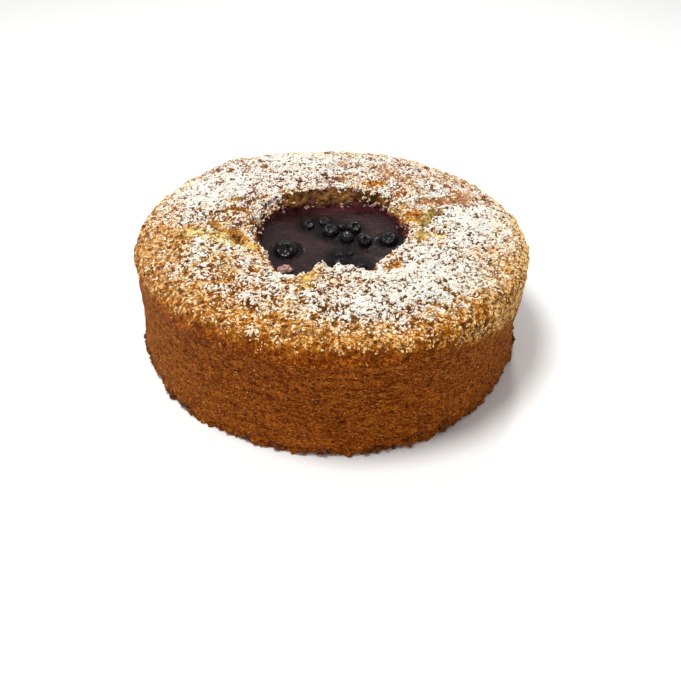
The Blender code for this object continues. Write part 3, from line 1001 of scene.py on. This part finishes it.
def centreShift(grid):
    # How far the bent form moves sideways to stand where the frame has the cake.
    low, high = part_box("cake")
    middle = np.array([(low.x + high.x) / 2, (low.y + high.y) / 2]) / mm
    return middle - np.array([(flat.max() + flat.min()) / 2 for flat in (grid.x, grid.y)])


def addCrustMap(mesh, cells):
    # Four corners for each cell of the grid; the cells at the poles are triangles.
    layer = mesh.uv_layers.new(name="OFBake")
    corners = [cells[0][:, :3], cells[1:-1], cells[-1][:, [1, 3, 0]]]
    flat = np.concatenate([part.reshape(-1, 2) for part in corners])
    layer.data.foreach_set("uv", flat.astype(np.float32).ravel())


# ---- the fruit filling

filling = {
    "columns": 200,
    "rings": 76,
    "intoWall": 0.9,           # mm that the surface reaches into the crust, so that no gap shows
    "meniscus": (0.3, 1.5),    # rise at the wall, width
    "inset": 0.3,
    "swells": (15.0, 0.3, 30), # size, height, seed
    "ripples": (4.0, 0.1, 31),
    "fringe": [(72, 42, 0.8)], # where the wine-red edge is wide: direction and spread in degrees, share
}

berryPlaces = [                # x, y, diameter, height above the pool, lean, its direction, jelly on it
    (-9.2, 12.6, 6.0, 2.7, 30, -60, 0.75),
    (-2.0, 15.4, 5.6, 2.6, 30, -120, 0.3),
    (0.5, 7.2, 7.2, 3.7, 25, -90, 0.3),
    (5.2, 11.0, 4.0, 2.2, 35, 40, 0.7),
    (10.6, 9.6, 6.4, 3.8, 38, -75, 0.0),
    (7.6, 2.2, 6.0, 3.1, 10, -110, 0.8),
    (15.1, -1.2, 5.8, 3.7, 42, -95, 0.0),
    (25.0, 0.6, 8.4, 3.7, 32, -100, 0.6),
    (-17.7, -7.0, 10.6, 4.2, 44, -95, 0.7),
    (3.7, -10.4, 5.0, 1.4, 20, 0, 1.0),
    (8.9, -9.6, 4.0, 1.2, 60, 90, 1.0),
    (4.4, -17.0, 7.0, 2.4, 25, 120, 1.0),
    (12.6, -19.4, 7.4, 2.2, 30, 30, 1.0),
]
berryFlatness = 0.9


def poolForm(x, y):
    # The height of the pool's skin, and how dark it is round the berries, partly as painted shade: it climbs
    # the berries a little.
    height = np.full_like(x, cake["poolLevel"])
    for size, amount, seed in (filling["swells"], filling["ripples"]):
        height += amount * noiseField(x, y, np.zeros_like(x), size, seed)
    climb, light = np.zeros_like(x), np.ones_like(x)
    for berryX, berryY, diameter, rise, _, _, film in berryPlaces:
        halfHeight = berryFlatness * diameter / 2
        waterline = diameter / 2 * math.sqrt(max(0.05, 1 - (rise / halfHeight - 1) ** 2))
        away = np.maximum(np.hypot(x - berryX, y - berryY) - waterline, 0)
        climb = np.maximum(climb, bell(away, 2.0) * (0.32 - 0.16 * film))
        # Darker jelly round the berries, partly painted shade between them.
        light *= 1 - 0.9 * (smooth(2.8, 1.0, away) if diameter > 8 else bell(away, 3.8))
        if diameter > 8:
            height += 0.4 * bell(away - 1.9, 0.6) * smooth(-1, 3, y - berryY)
    return height + climb, 1 - light


def buildFilling(material, shift):
    columns = filling["columns"]
    angle = directions(columns)
    pool = poolRadius(angle)
    reach = (np.linspace(0, 1, filling["rings"]) ** 0.92)[:, None] * (pool + filling["intoWall"])
    x, y = reach * np.cos(angle), reach * np.sin(angle)
    z, darkAndShaded = poolForm(x, y)
    toWall = pool - reach
    rise, width = filling["meniscus"]
    z += rise * np.exp(-(np.maximum(toWall, 0) / width) ** 1.4)
    bowl = np.array(bowlPoints(inset=filling["inset"], steps=9))[::-1]
    bowlReach, bowlZ = bowl[:, :1] * pool / cake["poolRadius"], bowl[:, 1:]
    below = np.stack([
        bowlReach * np.cos(angle), bowlReach * np.sin(angle),
        np.repeat(bowlZ, columns, axis=1) - 0.8 * (bowlZ > cake["poolLevel"] - 1)], -1)
    grid = np.concatenate([np.stack([x, y, z], -1), below])
    grid[..., :2] += shift
    fringe = 0.2 + swell(filling["fringe"], angle)
    unseen = np.zeros(below.shape[:2])
    edge = smooth(4.0 + 3.0 * fringe, 0.0, toWall) * fringe
    # Painted shadow of the crater's wall on the jelly along its edge, less where the wine-red fringe is.
    darkAndShaded = np.maximum(darkAndShaded, smooth(7.0, 0.0, toWall) * (1 - fringe) * 0.9)
    return addTurned("fruitFilling", grid, material, {
        "edge": np.concatenate([edge, unseen]), "darkAndShaded": np.concatenate([darkAndShaded, unseen])})


berry = {
    "columns": 40,
    "rings": 28,
    "lobes": 5,
    "crownAt": 34.0,           # degrees from the tip
    "crownWidth": 7.0,
    "crownHeight": 0.2,        # share of the radius
    "dimple": 0.42,
    "dimpleWidth": 19.0,       # degrees
    "uneven": 0.035,
    "wrinkle": 0.05,
}


def buildBerry(number, place, material, shift):
    x, y, diameter, rise, lean, towards, film = place
    fromTip, turn, unit = unitBall(berry["rings"], berry["columns"])
    tipDegrees, places = np.degrees(fromTip), np.moveaxis(unit, -1, 0)
    shown = 1 - 0.5 * film                # jelly softens the crown
    lobes = 0.72 + 0.38 * np.cos(berry["lobes"] * turn + 1.3 * number)
    crown = berry["crownHeight"] * bell(tipDegrees - berry["crownAt"], berry["crownWidth"]) * lobes
    dimple = berry["dimple"] * bell(tipDegrees, berry["dimpleWidth"])
    uneven = berry["uneven"] * noiseField(*places, 0.9, 40 + number)
    wrinkles = berry["wrinkle"] * noiseField(*places, 0.22, 60 + number)
    form = unit * (1 + uneven + wrinkles)[..., None]
    form[..., 2] = form[..., 2] * berryFlatness + shown * (crown - dimple)
    spin = Matrix.Rotation(math.radians(towards), 3, "Z") @ Matrix.Rotation(math.radians(lean), 3, "Y")
    placed = form @ np.array(spin).T * diameter / 2
    placed += (x + shift[0], y + shift[1], cake["poolLevel"] + rise - berryFlatness * diameter / 2)
    return addTurned(f"berry{number:02d}", placed, material, {"film": np.full(turn.shape, film)}, flipped=True)


# ---- the lump of crumb lying against the filling

lump = {
    "place": (-17.6, -21.8), "size": (6.6, 4.4, 4.0), "rise": 2.3, "turn": 25.0, "columns": 64, "rings": 40,
}


def buildLump(material, shift):
    _, _, unit = unitBall(lump["rings"], lump["columns"])
    x, y, z = np.moveaxis(unit, -1, 0)
    uneven = 0.10 * np.sin(4 * x + 1) * np.cos(3 * y) + 0.07 * np.sin(5 * z + 2 * x)
    grain = 0.22 * noiseField(x, y, z, 0.5, 70) + 0.12 * noiseField(x, y, z, 0.22, 71)
    form = unit * (1 + uneven + grain)[..., None] * np.array(lump["size"]) / 2
    placed = form @ np.array(Matrix.Rotation(math.radians(lump["turn"]), 3, "Z")).T
    placed += [*(lump["place"] + shift), cake["poolLevel"] + lump["rise"] - lump["size"][2] / 2]
    return addTurned("crumbLump", placed, material, {}, flipped=True)


# ---- scattered sugar and crumbs, made by Geometry Nodes

scatterInputs = {
    "Object": ["Host"],
    "String": ["Where"],
    "Float": ["Per Square Millimetre", "Smallest", "Largest", "Flatness", "Unevenness", "Leave Pits Open"],
    "Int": ["Roundness", "Seed"],
    "Material": ["Material"],
}


def makeScatterTree():
    tree = bpy.data.node_groups.new("scatterGrains", "GeometryNodeTree")
    tree.interface.new_socket("Geometry", in_out="OUTPUT", socket_type="NodeSocketGeometry")
    for kind, labels in scatterInputs.items():
        for label in labels:
            tree.interface.new_socket(label, in_out="INPUT", socket_type="NodeSocket" + kind)
    given, result = tree.nodes.new("NodeGroupInput").outputs, tree.nodes.new("NodeGroupOutput").inputs

    def add(kind, inputs, **settings):
        return addNode(tree, "GeometryNode" + kind, inputs, **settings).outputs

    def chance(low, high, offset):
        seed = plus(given["Seed"], offset)
        return addNode(
            tree, "FunctionNodeRandomValue", {2: low, 3: high, "Seed": seed}, data_type="FLOAT").outputs[1]

    host = add("ObjectInfo", {"Object": given["Host"]}, transform_space="RELATIVE")["Geometry"]
    where = add("InputNamedAttribute", {"Name": given["Where"]}, data_type="FLOAT")[0]
    density = times(times(where, given["Per Square Millimetre"]), 1 / mm ** 2)
    points = add("DistributePointsOnFaces", {"Mesh": host, "Density": density, "Seed": given["Seed"]})
    position = add("InputPosition", {})[0]
    inPit = times(calc("GREATER_THAN", pitField(scaled(position, 1 / mm)), 0.3), given["Leave Pits Open"])
    kept = add("DeleteGeometry", {"Geometry": points["Points"], "Selection": inPit}, domain="POINT")[0]

    skewed = calc("POWER", chance(0.0, 1.0, 11), 2.2)
    span = minus(given["Largest"], given["Smallest"])
    size = times(plus(given["Smallest"], times(skewed, span)), mm)
    sizes = together(
        times(size, chance(0.8, 1.9, 12)), times(size, chance(0.6, 1.1, 13)), times(size, given["Flatness"]))
    grain = add("MeshIcoSphere", {"Radius": 0.5, "Subdivisions": given["Roundness"]})["Mesh"]
    placed = add("InstanceOnPoints", {
        "Points": kept, "Instance": grain, "Rotation": points["Rotation"], "Scale": sizes})[0]
    spin = together(chance(-0.5, 0.5, 14), chance(-0.5, 0.5, 15), chance(0.0, 2 * math.pi, 16))
    spun = add("RotateInstances", {"Instances": placed, "Rotation": spin, "Local Space": True})[0]
    real = add("RealizeInstances", {"Geometry": spun})[0]
    wobble = addNode(tree, "ShaderNodeTexNoise", {"Vector": position, "Scale": 1 / mm, "Detail": 1.0})
    centred = addNode(
        tree, "ShaderNodeVectorMath", {0: wobble.outputs["Color"], 1: (0.5, 0.5, 0.5)},
        operation="SUBTRACT").outputs[0]
    offset = scaled(centred, times(given["Unevenness"], mm))
    uneven = add("SetPosition", {"Geometry": real, "Offset": offset})[0]
    feed(result, {"Geometry": add("SetMaterial", {"Geometry": uneven, "Material": given["Material"]})[0]})
    return tree


sugarClumps = {
    "Where": "sugarHeap", "Per Square Millimetre": 1.5, "Smallest": 0.6, "Largest": 1.4,
    "Flatness": 0.85, "Unevenness": 0.8, "Roundness": 1, "Seed": 5, "Leave Pits Open": 1.0,
}
sugarGrains = {
    "Where": "sugarSpeck", "Per Square Millimetre": 0.59, "Smallest": 0.42, "Largest": 1.25,
    "Flatness": 0.9, "Unevenness": 0.55, "Roundness": 1, "Seed": 9, "Leave Pits Open": 1.0,
}
footCrumbs = {
    "Where": "footCrumb", "Per Square Millimetre": 0.6, "Smallest": 0.6, "Largest": 2.6,
    "Flatness": 0.75, "Unevenness": 1.3, "Roundness": 2, "Seed": 17, "Leave Pits Open": 0.0,
}
soakedCrumbs = {
    "Where": "soakedCrumb", "Per Square Millimetre": 0.4, "Smallest": 0.7, "Largest": 2.0,
    "Flatness": 0.75, "Unevenness": 1.0, "Roundness": 2, "Seed": 23, "Leave Pits Open": 0.0,
}


def scatter(name, tree, host, settings, material):
    holder = addObject(name + "Maker", bpy.data.meshes.new(name + "Maker"))
    modifier = holder.modifiers.new("scatter", "NODES")
    modifier.node_group = tree
    values = dict(settings, Host=host, Material=material)
    for item in tree.interface.items_tree:
        if item.item_type == "SOCKET" and item.in_out == "INPUT":
            modifier[item.identifier] = values[item.name]
    evaluated = holder.evaluated_get(bpy.context.evaluated_depsgraph_get())
    mesh = bpy.data.meshes.new_from_object(evaluated)
    mesh.name = name
    mesh.materials.clear()
    mesh.materials.append(material)
    places = np.empty(len(mesh.vertices) * 3, np.float32)
    mesh.vertices.foreach_get("co", places)
    places[2::3] = np.maximum(places[2::3], 0)     # nothing reaches below the floor
    mesh.vertices.foreach_set("co", places)
    bpy.data.objects.remove(holder)
    print(name, len(mesh.polygons), "faces")
    return addObject(name, mesh)


# ---- floor, light and camera

studio = {
    "cameraPlace": (3.93, -322.64, 241.90),
    "cameraTilt": 52.3,        # degrees up from straight down
    "focalPixels": 900.0,
    "picturePixels": 681,
    "sensor": 36.0,
    "floorRadius": 1400.0,
    "floorColour": (251, 251, 249),
    "worldStrength": 0.44,
    "lights": {                # place, what it aims at, diameter, all in mm, power in W
        "overheadLight": ((-225, -40, 885), (0, 0, 30), 320, 6.6),
        "glintLight": ((160, 460, 560), (0, 0, 40), 80, 1.0),
    },
}


def buildFloor():
    points = np.full((96, 3), -0.05 * mm)
    points[:, :2] = outward(directions(96)) * studio["floorRadius"] * mm
    made, tree, shader = newMaterial("pale floor", {"Roughness": 0.6})
    speckle = noiseTexture(inMillimetres(tree), 3.0)
    pale = tint(*studio["floorColour"])
    duller = tuple(0.985 * part for part in pale)
    feed(shader, {"Base Color": layered(tree, pale, [(between(speckle, 0.3, 0.7), duller)])})
    floor = addMesh("floor", points, [tuple(range(len(points)))], made, {})


def addLight(name, place, aim, size, power):
    data = bpy.data.lights.new(name, "AREA")
    data.shape, data.size, data.energy = "DISK", size * mm, power
    lamp = addObject(name, data)
    lamp.location = np.array(place) * mm
    x, y, z = (np.array(aim) - place) * mm
    lamp.rotation_euler = Euler((math.atan2(math.hypot(x, y), -z), 0, math.atan2(-x, y)))


def buildStudio():
    scene = bpy.context.scene
    scene.view_settings.view_transform = "Standard"
    world = bpy.data.worlds.new("studio")
    world.use_nodes = True
    background = world.node_tree.nodes["Background"]
    background.inputs["Color"].default_value = (1, 1, 1, 1)
    background.inputs["Strength"].default_value = studio["worldStrength"]
    scene.world = world
    for name, values in studio["lights"].items():
        addLight(name, *values)
    data = bpy.data.cameras.new("camera")
    data.sensor_width = studio["sensor"]
    data.lens = studio["focalPixels"] * studio["sensor"] / studio["picturePixels"]
    camera = addObject("camera", data)
    camera.location = [value * mm for value in studio["cameraPlace"]]
    camera.rotation_euler = (math.radians(studio["cameraTilt"]), 0, 0)
    scene.camera = camera


def main():
    buildStudio()
    buildFloor()
    print("studio ready")

    spongeGroup, sugarGroup = makeSpongeGroup(), makeSugarGroup()
    crustMaterial = makeCrustMaterial(spongeGroup, sugarGroup)
    sugarMaterial = makeSugarMaterial()
    jellyMaterial, berryMaterial = makeJellyMaterial(), makeBerryMaterial()
    stained, dark = makeCrumbMaterial("stained", spongeGroup), makeCrumbMaterial("dark", spongeGroup)

    crust, shift = buildCrust(crustMaterial)
    print("crust made, shift", shift.round(3))
    fruit = buildFilling(jellyMaterial, shift)
    berries = [buildBerry(number, place, berryMaterial, shift) for number, place in enumerate(berryPlaces, 1)]
    crumb = buildLump(stained, shift)
    print("filling and berries made")

    scatterTree = makeScatterTree()
    clumps = scatter("sugarClumps", scatterTree, crust, sugarClumps, sugarMaterial)
    grains = scatter("sugarGrains", scatterTree, crust, sugarGrains, sugarMaterial)
    fallen = scatter("footCrumbs", scatterTree, crust, footCrumbs, dark)
    soaked = scatter("soakedCrumbs", scatterTree, crust, soakedCrumbs, stained)
    print("sugar and crumbs scattered")

    for piece, slot in [(crust, "crust"), (fruit, "fruit_filling"), (crumb, "crumb"),
                        (clumps, "crust"), (grains, "crust"), (fallen, "crust"), (soaked, "crust")]:
        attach(piece, body)
    for number, piece in enumerate(berries, 1):
        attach(piece, body)
        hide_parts(f"berry_{number:02d}")
    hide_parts("cake")
    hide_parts("filling")
    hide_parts("crumb_lump")


main()
